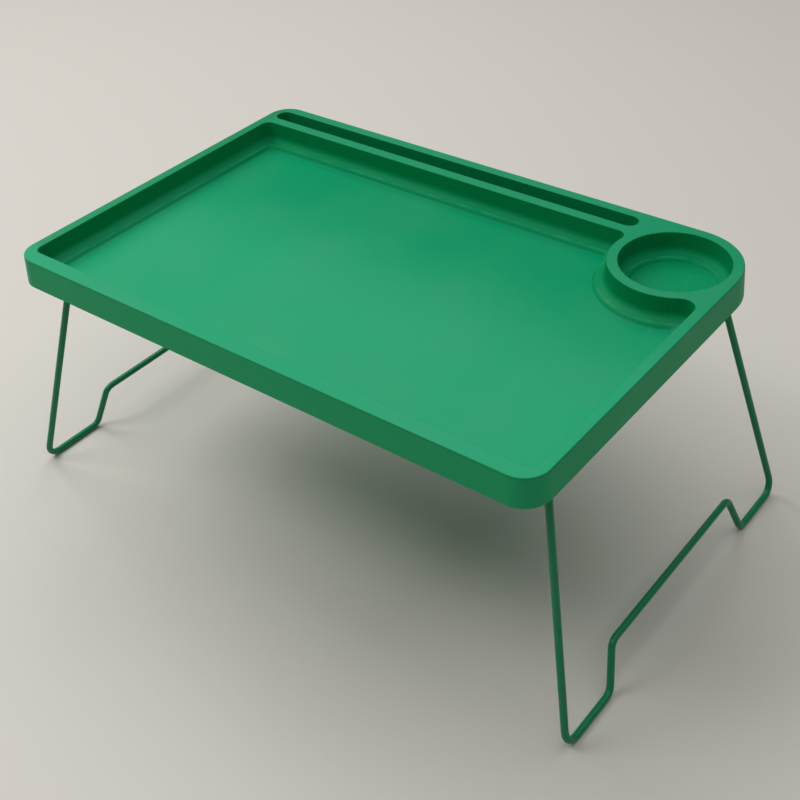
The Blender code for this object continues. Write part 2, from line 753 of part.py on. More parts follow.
def make_clip(name, side_x, finish):
    bm = bmesh.new()
    section = [(x + side_x * CLIP_X, z) for x, z in clip_section()]
    add_prism(bm, section, -CLIP_LENGTH / 2, CLIP_LENGTH / 2)
    clip = add_object(name, mesh_from(bm, name), finish)
    bm = bmesh.new()
    for x, y in clip_screw_places(side_x):
        base = (x, y, CLIP_BASE_BOTTOM - GAP)
        add_cylinder(bm, base, (0, 0, 1), SCREW_SHANK_RADIUS + GAP, CLIP_BASE + 2 * GAP)
    combine(clip, helper(name + "_holes", bm), "DIFFERENCE")


def main():
    clear_scene()
    tray_plastic = material("tray_plastic", GREEN, 0.45)
    leg_paint = material("leg_paint", WIRE_GREEN, 0.30)
    hinge_plastic = material("hinge_plastic", GREEN, 0.50)
    clip_plastic = material("clip_plastic", GREEN, 0.50)
    screw_steel = material("screw_steel", ZINC, 0.35, 1.0)
    make_tray(tray_plastic)
    make_leg(-1, "leg_left", leg_paint)
    make_leg(1, "leg_right", leg_paint)
    cap_screws = []
    for corner, side_x, side_y in corners():
        make_cap(f"hinge_cap_{corner}", side_x, side_y, hinge_plastic)
        inner, outer = cap_screw_places(side_x, side_y)
        cap_screws += [(f"hinge_screw_{corner}_inner", inner), (f"hinge_screw_{corner}_outer", outer)]
    make_screws(cap_screws, CAP_BOTTOM, screw_steel)
    clip_screws = []
    for side_name, side_x in (("left", -1), ("right", 1)):
        make_clip(f"storage_clip_{side_name}", side_x, clip_plastic)
        for number, place in enumerate(clip_screw_places(side_x), 1):
            clip_screws.append((f"clip_screw_{side_name}_{number}", place))
    make_screws(clip_screws, CLIP_BASE_BOTTOM - GAP - SCREW_HEAD_HEIGHT, screw_steel)


main()
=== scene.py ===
# %% [markdown]
# # Folding tray table: its looks
# The table is a moulded plastic tray standing on two bent wire legs. Its real shapes come
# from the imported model, which is loaded here as a fixed frame. This lesson gives every piece
# its finish, and adds the studio it stands in. Everything is in metres, with +Z up.

import json
import math

import bpy
from mathutils import Matrix, Vector


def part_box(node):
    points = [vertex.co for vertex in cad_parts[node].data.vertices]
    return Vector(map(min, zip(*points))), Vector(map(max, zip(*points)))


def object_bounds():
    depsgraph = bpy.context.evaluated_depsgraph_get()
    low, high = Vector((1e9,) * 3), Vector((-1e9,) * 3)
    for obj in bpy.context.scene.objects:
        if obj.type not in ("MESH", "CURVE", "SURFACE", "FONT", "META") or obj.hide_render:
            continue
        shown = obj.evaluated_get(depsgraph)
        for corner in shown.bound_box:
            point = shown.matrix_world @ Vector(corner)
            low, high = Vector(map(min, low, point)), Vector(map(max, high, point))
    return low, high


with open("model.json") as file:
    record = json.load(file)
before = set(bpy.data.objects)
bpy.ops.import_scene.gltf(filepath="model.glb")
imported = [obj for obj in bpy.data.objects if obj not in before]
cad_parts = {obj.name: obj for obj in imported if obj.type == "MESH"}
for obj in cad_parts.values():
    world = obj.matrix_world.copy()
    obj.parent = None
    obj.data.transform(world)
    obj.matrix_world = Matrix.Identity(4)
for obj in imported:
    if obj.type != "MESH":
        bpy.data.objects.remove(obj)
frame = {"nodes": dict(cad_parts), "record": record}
nodes = frame["nodes"]
cad_low, cad_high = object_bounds()
_, tray_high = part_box("tray_body")
mounts = {mount["name"]: Vector(mount["pos_m"]) for mount in frame["record"]["mounts"]}
scene = bpy.context.scene
print("pieces:", len(nodes), "box in mm:", [round(1000 * v) for v in cad_high - cad_low])

# %% [markdown]
# ## The camera
# The table is looked down on from its front right corner, from about a metre and a quarter
# away, as someone standing beside it would see it. A camera in Blender looks along its own
# -Z with +Y up, so its three axes in the world are all that is needed to aim it.

# %% Camera
CAMERA_PLACE = Vector((0.62548, -0.73173, 0.83583))
CAMERA_RIGHT = Vector((0.789606, 0.611460, -0.051375))
CAMERA_FORWARD = Vector((-0.509433, 0.606570, -0.610370))
CAMERA_LENS_MM = 56.68
SENSOR_MM = 36.0

camera_data = bpy.data.cameras.new("table_camera")
camera_data.lens = CAMERA_LENS_MM
camera_data.sensor_width = SENSOR_MM
camera = bpy.data.objects.new("table_camera", camera_data)
scene.collection.objects.link(camera)
back = -CAMERA_FORWARD.normalized()
up = back.cross(CAMERA_RIGHT).normalized()
right = up.cross(back)
axes = Matrix((right, up, back)).transposed()
camera.matrix_world = Matrix.Translation(CAMERA_PLACE) @ axes.to_4x4()
scene.camera = camera
print("camera looks down at", round(math.degrees(math.asin(-CAMERA_FORWARD.z)), 1), "degrees")

# %% [markdown]
# ## Floor and studio
# The table stands on a plain pale floor, so that only the object has anything to look at.
# The floor is one large quad.
# Seen from below it is clear, so that the underside of the tray can be looked at too.

# %% Floor
FLOOR_HALF = 6.0
FLOOR_COLOUR = (0.700, 0.672, 0.622)
FLOOR_ROUGHNESS = 0.55


def plain_material(name, colour, roughness, metallic=0.0):
    """A material with its own Principled shader, and the shader itself."""
    made = bpy.data.materials.new(name)
    made.use_nodes = True
    shader = made.node_tree.nodes["Principled BSDF"]
    shader.inputs["Base Color"].default_value = (*colour, 1.0)
    shader.inputs["Roughness"].default_value = roughness
    shader.inputs["Metallic"].default_value = metallic
    return made, shader


floor_mesh = bpy.data.meshes.new("studio_floor")
floor_signs = [(-1, -1), (1, -1), (1, 1), (-1, 1)]
floor_corners = [(x * FLOOR_HALF, y * FLOOR_HALF, 0.0) for x, y in floor_signs]
floor_mesh.from_pydata(floor_corners, [], [(0, 1, 2, 3)])
floor = bpy.data.objects.new("studio_floor", floor_mesh)
scene.collection.objects.link(floor)
floor_finish, floor_shader = plain_material("studio_floor", FLOOR_COLOUR, FLOOR_ROUGHNESS)
floor_tree = floor_finish.node_tree
floor_output = floor_tree.nodes["Material Output"]
which_side = floor_tree.nodes.new("ShaderNodeNewGeometry")
which_ray = floor_tree.nodes.new("ShaderNodeLightPath")
seen_from_below = floor_tree.nodes.new("ShaderNodeMath")
seen_from_below.operation = "MULTIPLY"
clear = floor_tree.nodes.new("ShaderNodeBsdfTransparent")
either = floor_tree.nodes.new("ShaderNodeMixShader")
floor_tree.links.new(which_side.outputs["Backfacing"], seen_from_below.inputs[0])
floor_tree.links.new(which_ray.outputs["Is Camera Ray"], seen_from_below.inputs[1])
floor_tree.links.new(seen_from_below.outputs[0], either.inputs["Fac"])
floor_tree.links.new(floor_shader.outputs["BSDF"], either.inputs[1])
floor_tree.links.new(clear.outputs["BSDF"], either.inputs[2])
floor_tree.links.new(either.outputs["Shader"], floor_output.inputs["Surface"])
floor_mesh.materials.append(floor_finish)
print("floor side in m:", 2 * FLOOR_HALF)

# %% [markdown]
# ## Light
# A shop or an office is lit by rows of bright panels in its ceiling. A few large soft lamps
# overhead give the same thing: a bright top, darker sides and a broad, soft shadow. A dim
# world fills in what the lamps miss. Large lamps are used because a small one would draw a
# hard shadow edge that soft ceiling light never has.

# %% Light
TABLE_MIDDLE = Vector((0.0, 0.0, 0.2))
LAMPS = {
    "ceiling_over": {"place": (0.0, 0.2, 2.6), "side": 4.0, "watts": 40.0},
    "ceiling_back_left": {"place": (-1.2, 1.6, 2.5), "side": 1.2, "watts": 9.0},
    "ceiling_front_left": {"place": (-1.5, -1.2, 2.5), "side": 1.2, "watts": 20.0},
    "ceiling_front_right": {"place": (1.2, -1.6, 2.5), "side": 1.2, "watts": 3.0},
    "wall_left": {"place": (-2.2, 0.3, 2.0), "side": 1.2, "watts": 20.0},
}
LAMP_COLOUR = (1.0, 0.99, 0.975)
WORLD_COLOUR = (0.97, 0.985, 1.0)
WORLD_STRENGTH = 0.155


def soft_lamp(name, place, side, watts):
    data = bpy.data.lights.new(name, "AREA")
    data.shape = "SQUARE"
    data.size = side
    data.energy = watts
    data.color = LAMP_COLOUR
    lamp = bpy.data.objects.new(name, data)
    lamp.location = place
    lamp.rotation_mode = "QUATERNION"
    lamp.rotation_quaternion = (TABLE_MIDDLE - Vector(place)).to_track_quat("-Z", "Y")
    scene.collection.objects.link(lamp)


for lamp_name, lamp_facts in LAMPS.items():
    soft_lamp(lamp_name, **lamp_facts)
world = bpy.data.worlds.new("studio_air")
world.use_nodes = True
background = world.node_tree.nodes["Background"]
background.inputs["Color"].default_value = (*WORLD_COLOUR, 1.0)
background.inputs["Strength"].default_value = WORLD_STRENGTH
scene.world = world
scene.view_settings.view_transform = "Standard"
print("lamps:", len(LAMPS))

# %% [markdown]
# ## Smooth shading
# A model that comes from a machining file is made of flat facets, so a round wire would show
# its sides. Shading can be softened across shallow edges and kept crisp on real ones. It
# could be painted edge by edge, but a modifier does it by the angle between faces and leaves
# the mesh itself untouched.

# %% Smooth shading
WELD_DISTANCE = 0.00001
FLAT_ANGLE = math.radians(0.6)
CRISP_ANGLE = math.radians(32)
MOULDED_EDGE = 0.0003


def link(tree, source, target):
    tree.links.new(source, target)


def shading_by_angle():
    """A node group that smooths every edge shallower than its Angle."""
    group = bpy.data.node_groups.new("smooth_by_angle", "GeometryNodeTree")
    group.interface.new_socket("Shape", in_out="INPUT", socket_type="NodeSocketGeometry")
    angle = group.interface.new_socket("Angle", in_out="INPUT", socket_type="NodeSocketFloat")
    angle.default_value = CRISP_ANGLE
    group.interface.new_socket("Shape", in_out="OUTPUT", socket_type="NodeSocketGeometry")
    entry = group.nodes.new("NodeGroupInput")
    leave = group.nodes.new("NodeGroupOutput")
    all_smooth = group.nodes.new("GeometryNodeSetShadeSmooth")
    all_smooth.domain = "FACE"
    crisp = group.nodes.new("GeometryNodeSetShadeSmooth")
    crisp.domain = "EDGE"
    crisp.inputs["Shade Smooth"].default_value = False
    between = group.nodes.new("GeometryNodeInputMeshEdgeAngle")
    steep = group.nodes.new("FunctionNodeCompare")
    steep.operation = "GREATER_THAN"
    cleared = group.nodes.new("GeometryNodeRemoveAttribute")
    cleared.inputs["Name"].default_value = "custom_normal"
    link(group, entry.outputs["Shape"], cleared.inputs["Geometry"])
    link(group, cleared.outputs["Geometry"], all_smooth.inputs["Geometry"])
    link(group, all_smooth.outputs["Geometry"], crisp.inputs["Geometry"])
    link(group, between.outputs["Unsigned Angle"], steep.inputs["A"])
    link(group, entry.outputs["Angle"], steep.inputs["B"])
    link(group, steep.outputs["Result"], crisp.inputs["Selection"])
    link(group, crisp.outputs["Geometry"], leave.inputs["Shape"])
    return group


def soften(obj, group, edge_radius=0.0):
    weld = obj.modifiers.new("weld", "WELD")
    weld.merge_threshold = WELD_DISTANCE
    flat = obj.modifiers.new("join_flat_faces", "DECIMATE")
    flat.decimate_type = "DISSOLVE"
    flat.angle_limit = FLAT_ANGLE
    if edge_radius:
        bevel = obj.modifiers.new("soft_edges", "BEVEL")
        bevel.width = edge_radius
        bevel.segments = 2
        bevel.limit_method = "ANGLE"
        bevel.angle_limit = CRISP_ANGLE
    smooth = obj.modifiers.new("smooth_by_angle", "NODES")
    smooth.node_group = group
    normals = obj.modifiers.new("weighted_normals", "WEIGHTED_NORMAL")
    normals.keep_sharp = True


smooth_group = shading_by_angle()
for node_name, node in nodes.items():
    moulded = node_name.startswith(("hinge_cap", "storage_clip"))
    soften(node, smooth_group, MOULDED_EDGE if moulded else 0.0)
print("smoothed pieces:", len(nodes))

# %% [markdown]
# ## Shared effects
# Moulded plastic, powder coat and plated steel share a few small effects: a colour that
# drifts slightly, a fine surface grain, hairline scratches, rubbed places and settled dust.
# Each one is a node group that is built once. It gives out only a colour, a mask or a height,
# and each material uses it with its own numbers. Positions come from the piece itself, so
# the pattern stays on a leg while the leg folds.

# %% Helpers for node groups
def shader_group(name, inputs, outputs):
    """An empty shader group. inputs are (name, kind, value) and outputs are (name, kind)."""
    group = bpy.data.node_groups.new(name, "ShaderNodeTree")
    for title, kind, value in inputs:
        made = group.interface.new_socket(title, in_out="INPUT", socket_type="NodeSocket" + kind)
        if value is not None:
            made.default_value = value
    for title, kind in outputs:
        group.interface.new_socket(title, in_out="OUTPUT", socket_type="NodeSocket" + kind)
    return group, group.nodes.new("NodeGroupInput"), group.nodes.new("NodeGroupOutput")


def feed(tree, socket, value):
    """Puts a number, a colour or another node's output into a socket."""
    if isinstance(value, bpy.types.NodeSocket):
        link(tree, value, socket)
    else:
        socket.default_value = value


def add_node(tree, kind, values=None, **settings):
    node = tree.nodes.new(kind)
    for key, value in settings.items():
        setattr(node, key, value)
    for title, value in (values or {}).items():
        feed(tree, node.inputs[title], value)
    return node


def maths(tree, operation, first, second=0.0, clamp=False):
    values = {0: first, 1: second}
    return add_node(tree, "ShaderNodeMath", values, operation=operation, use_clamp=clamp).outputs[0]


def times(tree, first, second):
    return maths(tree, "MULTIPLY", first, second)


def plus(tree, first, second):
    return maths(tree, "ADD", first, second)


def minus(tree, first, second):
    return maths(tree, "SUBTRACT", first, second)


def nearness(tree, value, middle, reach):
    """1 where the value is at the middle, falling to 0 at the reach on either side."""
    away = maths(tree, "ABSOLUTE", minus(tree, value, middle))
    return maths(tree, "SUBTRACT", 1.0, maths(tree, "DIVIDE", away, reach), clamp=True)


def noise(tree, place, scale, detail=2.0, roughness=0.5):
    values = {"Vector": place, "Scale": scale, "Detail": detail, "Roughness": roughness}
    return add_node(tree, "ShaderNodeTexNoise", values).outputs["Fac"]


def remap(tree, value, from_low, from_high, to_low=0.0, to_high=1.0):
    """Eases from one range to another, and stays level past its ends."""
    values = {"Value": value, "From Min": from_low, "From Max": from_high}
    values |= {"To Min": to_low, "To Max": to_high}
    node = add_node(tree, "ShaderNodeMapRange", values, interpolation_type="SMOOTHSTEP")
    return node.outputs["Result"]


def mix_colours(tree, share, first, second):
    node = add_node(tree, "ShaderNodeMix", data_type="RGBA")
    feed(tree, node.inputs["Factor"], share)
    feed(tree, node.inputs["A"], first)
    feed(tree, node.inputs["B"], second)
    return node.outputs["Result"]


print("node helpers ready")

# %% [markdown]
# ### Colour drift
# Pigment never mixes quite evenly, and a painted or moulded surface is a touch lighter here
# and darker there. A broad noise shifts the brightness by a few hundredths, and a fine one
# adds the specks that can be seen only close up.

# %% Colour drift
SPECKS_PER_CLOUD = 90.0
CLOUD_SHARE = 0.7
SWING_GAIN = 4.0


def build_colour_drift():
    group, entry, leave = shader_group(
        "colour_drift",
        [("Place", "Vector", None), ("Colour", "Color", (0.5, 0.5, 0.5, 1)), ("Scale", "Float", 6.0),
         ("Strength", "Float", 0.05)],
        [("Colour", "Color")],
    )
    place = entry.outputs["Place"]
    broad = noise(group, place, entry.outputs["Scale"], 3.0)
    fine = noise(group, place, times(group, entry.outputs["Scale"], SPECKS_PER_CLOUD), 1.0)
    both = plus(group, times(group, broad, CLOUD_SHARE), times(group, fine, 1.0 - CLOUD_SHARE))
    swing = times(group, minus(group, both, 0.5), entry.outputs["Strength"])
    values = {"Color": entry.outputs["Colour"], "Value": plus(group, times(group, swing, SWING_GAIN), 1.0)}
    shifted = add_node(group, "ShaderNodeHueSaturation", values)
    feed(group, leave.inputs["Colour"], shifted.outputs["Color"])
    return group


colour_drift = build_colour_drift()
print("built", colour_drift.name)

# %% [markdown]
# ### Surface grain
# The steel of a mould is spark-eroded, so the plastic comes out with a very fine grain, and
# powder coat dries with a slightly larger orange peel. Both are a height that varies: one
# fine noise over one broad one. It only has to feed a Bump node in the material.

# %% Surface grain
def build_surface_grain():
    group, entry, leave = shader_group(
        "surface_grain",
        [("Place", "Vector", None), ("Fine scale", "Float", 2200.0), ("Broad scale", "Float", 60.0),
         ("Broad share", "Float", 0.4)],
        [("Height", "Float")],
    )
    fine = noise(group, entry.outputs["Place"], entry.outputs["Fine scale"], 2.0, 0.6)
    broad = noise(group, entry.outputs["Place"], entry.outputs["Broad scale"], 2.0)
    share = entry.outputs["Broad share"]
    kept = times(group, fine, minus(group, 1.0, share))
    feed(group, leave.inputs["Height"], plus(group, kept, times(group, broad, share)))
    return group


surface_grain = build_surface_grain()
print("built", surface_grain.name)

# %% [markdown]
# ### Hairline scratches
# A tray that has carried plates has faint scratches in a few directions. Noise that is
# stretched a long way along one direction breaks into thin streaks, and a soft patchwork
# keeps them to some areas. Drawing each scratch as a curve would look no better and cost
# far more.

# %% Hairline scratches
SCRATCH_TURNS = (0.35, 1.25, 2.5)
SCRATCH_SOFTNESS = 0.06
PATCH_SCALE = 14.0
PATCH_RANGE = (0.48, 0.66)


def build_hairlines():
    group, entry, leave = shader_group(
        "hairline_scratches",
        [("Place", "Vector", None), ("Length scale", "Float", 9.0), ("Width scale", "Float", 1400.0),
         ("Rarity", "Float", 0.70)],
        [("Mask", "Float")],
    )
    place = entry.outputs["Place"]
    along = entry.outputs["Length scale"]
    rarity = entry.outputs["Rarity"]
    full = plus(group, rarity, SCRATCH_SOFTNESS)
    values = {"X": along, "Y": entry.outputs["Width scale"], "Z": along}
    sizes = add_node(group, "ShaderNodeCombineXYZ", values).outputs[0]
    total = 0.0
    for turn in SCRATCH_TURNS:
        turned = add_node(group, "ShaderNodeVectorRotate", {"Vector": place, "Angle": turn}).outputs[0]
        stretched = add_node(group, "ShaderNodeVectorMath", {0: turned, 1: sizes}, operation="MULTIPLY")
        streak = noise(group, stretched.outputs[0], 1.0, 1.0)
        total = maths(group, "MAXIMUM", remap(group, streak, rarity, full), total)
    patches = remap(group, noise(group, place, PATCH_SCALE, 1.0), *PATCH_RANGE)
    feed(group, leave.inputs["Mask"], times(group, total, patches))
    return group


hairlines = build_hairlines()
print("built", hairlines.name)

# %% [markdown]
# ### Rubbed places and a painted highlight
# Hands polish the tray's rim, and the floor scuffs the feet of the wires. The same mask also
# lays a painted highlight along the ridge of the ledge in the tray. Each lies at one height on
# the piece, so the mask follows that height and is broken up by noise.

# %% Rubbed places
BREAKUP_RANGE = (0.35, 0.65)


def build_rubbed_level():
    group, entry, leave = shader_group(
        "rubbed_and_highlight_level",
        [("Place", "Vector", None), ("Level", "Float", 0.0), ("Reach", "Float", 0.002),
         ("Breakup scale", "Float", 120.0)],
        [("Mask", "Float")],
    )
    place = entry.outputs["Place"]
    height = add_node(group, "ShaderNodeSeparateXYZ", {"Vector": place}).outputs["Z"]
    near = nearness(group, height, entry.outputs["Level"], entry.outputs["Reach"])
    clouds = noise(group, place, entry.outputs["Breakup scale"], 3.0)
    feed(group, leave.inputs["Mask"], times(group, near, remap(group, clouds, *BREAKUP_RANGE)))
    return group


rubbed_and_highlight_level = build_rubbed_level()
print("built", rubbed_and_highlight_level.name)

# %% [markdown]
# ### Settled dust
# A little dust lies on whatever faces up. The piece's own normal says which way a surface
# faces, and two sizes of noise make the dust uneven.

# %% Settled dust
DUST_CLOUDS = {"scale": 9.0, "detail": 4.0}
DUST_SPECKS = {"scale": 900.0, "detail": 1.0}
DUST_CLOUD_SHARE = 0.6


def build_settled_dust():
    group, entry, leave = shader_group(
        "settled_dust",
        [("Place", "Vector", None), ("Normal", "Vector", None), ("Amount", "Float", 0.1)],
        [("Mask", "Float")],
    )
    place = entry.outputs["Place"]
    facing = add_node(group, "ShaderNodeSeparateXYZ", {"Vector": entry.outputs["Normal"]})
    upward = remap(group, facing.outputs["Z"], 0.5, 1.0)
    clouds = times(group, remap(group, noise(group, place, **DUST_CLOUDS), 0.35, 0.75), DUST_CLOUD_SHARE)
    specks = remap(group, noise(group, place, **DUST_SPECKS), 0.62, 0.72)
    uneven = plus(group, clouds, times(group, specks, 1.0 - DUST_CLOUD_SHARE))
    feed(group, leave.inputs["Mask"], times(group, times(group, uneven, upward), entry.outputs["Amount"]))
    return group


settled_dust = build_settled_dust()
print("built", settled_dust.name)

# %% [markdown]
# ### Zones of the tray
# The top faces of the mould are sparked to a fine grain. The walls of the wells, the slot,
# the cup and the ledge are painted darker and deeper in colour, as shade in recesses, and they
# get less coat, so they show no haze. This group tells the zones apart by where a point lies
# and which way its surface faces: the wells, the skirt outside, the rim's outer edge and its
# left side, how far forward a point lies, and the back part of the inside. The tray's round
# corner follows the cup, so it is cut out of the inside.

# %% Zones of the tray
STEEP_RANGE = (0.10, 0.97)
LEFT_RIM_START = 0.992
LEFT_RIM_FADE = (0.004, 0.024)


def build_tray_zones():
    group, entry, leave = shader_group(
        "tray_zones",
        [("Place", "Vector", None), ("Normal", "Vector", None), ("Half length", "Float", 0.27),
         ("Half width", "Float", 0.17), ("Rim level", "Float", 0.26), ("Floor level", "Float", 0.23),
         ("Ledge rise", "Float", 0.004), ("Slot front", "Float", 0.15), ("Slot end", "Float", 0.16),
         ("Cup middle", "Vector", (0.22, 0.13, 0.0)), ("Cup radius", "Float", 0.05),
         ("Cup share", "Float", 0.4), ("Ledge share", "Float", 0.5),
         ("Edge height", "Float", 0.001), ("Back", "Float", 0.12), ("Front", "Float", -0.10)],
        [("Wells", "Float"), ("Skirt", "Float"), ("Edge", "Float"), ("Forward", "Float"),
         ("Left rim shade", "Float"), ("Inside back", "Float")],
    )
    given = entry.outputs
    here = add_node(group, "ShaderNodeSeparateXYZ", {"Vector": given["Place"]}).outputs
    facing = add_node(group, "ShaderNodeSeparateXYZ", {"Vector": given["Normal"]}).outputs
    middle = add_node(group, "ShaderNodeSeparateXYZ", {"Vector": given["Cup middle"]}).outputs
    plan = add_node(group, "ShaderNodeCombineXYZ", {"X": here["X"], "Y": here["Y"]}).outputs[0]
    cup_values = {0: plan, 1: given["Cup middle"]}
    to_cup = add_node(group, "ShaderNodeVectorMath", cup_values, operation="DISTANCE").outputs["Value"]

    def below(value, limit):
        return maths(group, "LESS_THAN", value, limit)

    def above(value, limit):
        return maths(group, "GREATER_THAN", value, limit)

    def size_of(value):
        return maths(group, "ABSOLUTE", value)

    across_x = below(size_of(here["X"]), given["Half length"])
    across_y = below(size_of(here["Y"]), given["Half width"])
    past_cup = times(group, above(here["X"], middle["X"]), above(here["Y"], middle["Y"]))
    round_corner = times(group, past_cup, above(to_cup, given["Cup radius"]))
    within = times(group, times(group, across_x, across_y), minus(group, 1.0, round_corner))
    outside = minus(group, 1.0, within)
    inside = times(group, within, below(here["Z"], given["Rim level"]))
    steep = minus(group, 1.0, remap(group, facing["Z"], *STEEP_RANGE))

    ledge_top = plus(group, given["Floor level"], given["Ledge rise"])
    ledge = remap(group, here["Z"], given["Floor level"], ledge_top)
    slot = times(group, above(here["Y"], given["Slot front"]), below(here["X"], given["Slot end"]))
    cup = times(group, below(to_cup, given["Cup radius"]), given["Cup share"])
    # Wells: painted shade in recesses, on the steep inside walls, the slot, the cup floor and the ledge.
    deepest = steep
    for zone in (slot, cup, times(group, ledge, given["Ledge share"])):
        deepest = maths(group, "MAXIMUM", deepest, zone)
    feed(group, leave.inputs["Wells"], times(group, deepest, inside))
    # Skirt: the steep outside faces, which get a painted side-light tint.
    feed(group, leave.inputs["Skirt"], times(group, steep, outside))

    edge_middle = minus(group, given["Rim level"], given["Edge height"])
    edge = nearness(group, here["Z"], edge_middle, given["Edge height"])
    feed(group, leave.inputs["Edge"], times(group, edge, outside))
    # Forward: painted light and shade, lighter towards the front of the tray and darker towards the back.
    forward = remap(group, here["Y"], given["Back"], given["Front"])
    feed(group, leave.inputs["Forward"], forward)
    feed(group, leave.inputs["Inside back"], times(group, inside, minus(group, 1.0, forward)))
    # Left rim: painted shade, darker on the rim's left side.
    beyond_left = below(here["X"], times(group, given["Half length"], -LEFT_RIM_START))
    off_front = remap(group, plus(group, here["Y"], given["Half width"]), *LEFT_RIM_FADE)
    feed(group, leave.inputs["Left rim shade"], times(group, beyond_left, off_front))
    return group


tray_zones = build_tray_zones()
print("built", tray_zones.name)

# %% [markdown]
# ### Placing the effects
# A material picks the groups it needs, sets their numbers, and sends their colours, masks and
# heights into its own Principled shader. These helpers place a group, turn a height into a
# bumped normal, and fetch the piece's own coordinates.

# %% Placing a group in a material
def place_group(tree, group, values):
    node = tree.nodes.new("ShaderNodeGroup")
    node.node_tree = group
    for title, value in values.items():
        feed(tree, node.inputs[title], value)
    return node


def bump(tree, height, strength, distance):
    values = {"Height": height, "Strength": strength, "Distance": distance}
    return add_node(tree, "ShaderNodeBump", values).outputs["Normal"]


def coordinates(tree):
    found = add_node(tree, "ShaderNodeTexCoord")
    return found.outputs["Object"], found.outputs["Normal"]


print("ready to place groups")

# %% [markdown]
# ## Moulded green plastic
# The tray is injection-moulded polypropylene, coloured green right through, with a satin
# surface. It is not see-through, and its gloss is soft: reflections blur into a pale haze on
# the flat floor. The colour drifts slightly, rubbed rims are a little smoother, and fine
# scratches are a little rougher and paler. The recipe takes its colour and numbers from
# outside, because the small fittings are made of the same plastic.

# %% Recipe for moulded plastic
SCRATCHED_GREEN = (0.060, 0.380, 0.200, 1.0)
DUST_GREY = (0.42, 0.42, 0.38, 1.0)
PLASTIC_SHINE = 0.20
RIM_LEVEL = tray_high.z
HAND_REACH = 0.003
HAND_POLISH = 0.08
DUST_DULLING = 0.4
GRAIN_STRENGTH = 0.35
GRAIN_DEPTH = 0.00004


def moulded_plastic(name, colour, roughness, dust_amount, scratch_share):
    """The finish, its shader, and the socket that its own colour goes into."""
    made, shader = plain_material(name, colour[:3], roughness)
    tree = made.node_tree
    place, normal = coordinates(tree)
    drift_values = {"Place": place, "Colour": colour, "Scale": 7.0, "Strength": 0.035}
    dust_values = {"Place": place, "Normal": normal, "Amount": dust_amount}
    rub_values = {"Place": place, "Level": RIM_LEVEL, "Reach": HAND_REACH}
    drift = place_group(tree, colour_drift, drift_values)
    lines = place_group(tree, hairlines, {"Place": place}).outputs["Mask"]
    dust = place_group(tree, settled_dust, dust_values).outputs["Mask"]
    rubbed = place_group(tree, rubbed_and_highlight_level, rub_values).outputs["Mask"]
    scratches = times(tree, lines, scratch_share)
    scratched = mix_colours(tree, scratches, drift.outputs["Colour"], SCRATCHED_GREEN)
    feed(tree, shader.inputs["Base Color"], mix_colours(tree, dust, scratched, DUST_GREY))
    clouds = noise(tree, place, 22.0, 3.0)
    uneven = remap(tree, clouds, 0.3, 0.7, roughness - 0.03, roughness + 0.05)
    polished = minus(tree, uneven, times(tree, rubbed, HAND_POLISH))
    feed(tree, shader.inputs["Roughness"], plus(tree, polished, times(tree, dust, DUST_DULLING)))
    grain = place_group(tree, surface_grain, {"Place": place}).outputs["Height"]
    feed(tree, shader.inputs["Normal"], bump(tree, grain, GRAIN_STRENGTH, GRAIN_DEPTH))
    shader.inputs["Specular IOR Level"].default_value = PLASTIC_SHINE
    return made, shader, drift.inputs["Colour"]


print("recipe ready, grain depth in microns:", round(GRAIN_DEPTH * 1000000))

# %% [markdown]
# ## The tray
# The tray takes the plastic in its brightest green, and each zone has its own shade of it.
# Most of these shades are painted light and shade: the front is painted lighter than the back
# and the left rim, the skirt's sides a darker, slightly yellower green, and the walls of the
# wells, the slot, the cup and the ledge darker, as shade in recesses. The rim's outer edge has
# a thin, deeper line, and the ridge of the ledge round the floor a painted highlight.
#
# Use and wiping give the plastic a thin burnished skin, which Coat Weight lays over a duller
# base. The wells and the back of the inside are wiped least, so they have hardly any. Where
# each zone starts is measured from the tray's own box and from the two floors that things
# stand on.

# %% Tray plastic
# The back and front greens are painted shade and painted light: darker at the back, lighter at the front.
BACK_SHADED_GREEN = (0.0005, 0.298, 0.126, 1.0)
FRONT_LIT_GREEN = (0.004, 0.375, 0.168, 1.0)
# The skirt's green is painted light: darker and less blue on the steep sides.
SKIRT_SHADED_GREEN = (0.0015, 0.335, 0.118, 1.0)
# The well green is painted shade for recesses; the edge line and the left rim use it too.
WELL_SHADE_GREEN = (0.0003, 0.240, 0.076, 1.0)
# The ridge green is a painted highlight along the ledge round the floor.
RIDGE_HIGHLIGHT_GREEN = (0.020, 0.400, 0.190, 1.0)
FLOOR_LEVEL = mounts["tray_floor"].z
SHELF_LEVEL = FLOOR_LEVEL + 0.0039
CUP_MIDDLE = mounts["cup_well_floor"]
SIDE_TO_WELL = 0.0107
FRONT_TO_WELL = 0.0104
BACK_TO_SLOT = 0.0304
CUP_TO_SLOT = 0.0575
WELLS = {
    "Half length": tray_high.x - SIDE_TO_WELL,
    "Half width": tray_high.y - FRONT_TO_WELL,
    "Rim level": RIM_LEVEL - 0.0003,
    "Edge height": 0.0010,
    "Floor level": FLOOR_LEVEL + 0.0004,
    "Ledge rise": 0.0034,
    "Ledge share": 0.55,
    "Slot front": tray_high.y - BACK_TO_SLOT,
    "Slot end": CUP_MIDDLE.x - CUP_TO_SLOT,
    "Cup middle": (CUP_MIDDLE.x, CUP_MIDDLE.y, 0.0),
    "Cup radius": 0.0490,
    "Cup share": 0.30,
    "Back": 0.125,
    "Front": -0.080,
}
# Where the painted highlight lies: a thin band at the top of the ledge.
RIDGE = {"Level": SHELF_LEVEL, "Reach": 0.0004, "Breakup scale": 60.0}
SKIRT_SHADE_SHARE = 0.9
EDGE_SHARE = 0.8
RIDGE_HIGHLIGHT_SHARE = 0.5
# How much painted shade darkens the left rim.
LEFT_RIM_SHADE_SHARE = 0.55
INSIDE_BACK_SHARE = 0.85
BARE_SHINE = 0.04
SKIN_SHARE = 0.32
SKIN_ROUGHNESS = 0.46


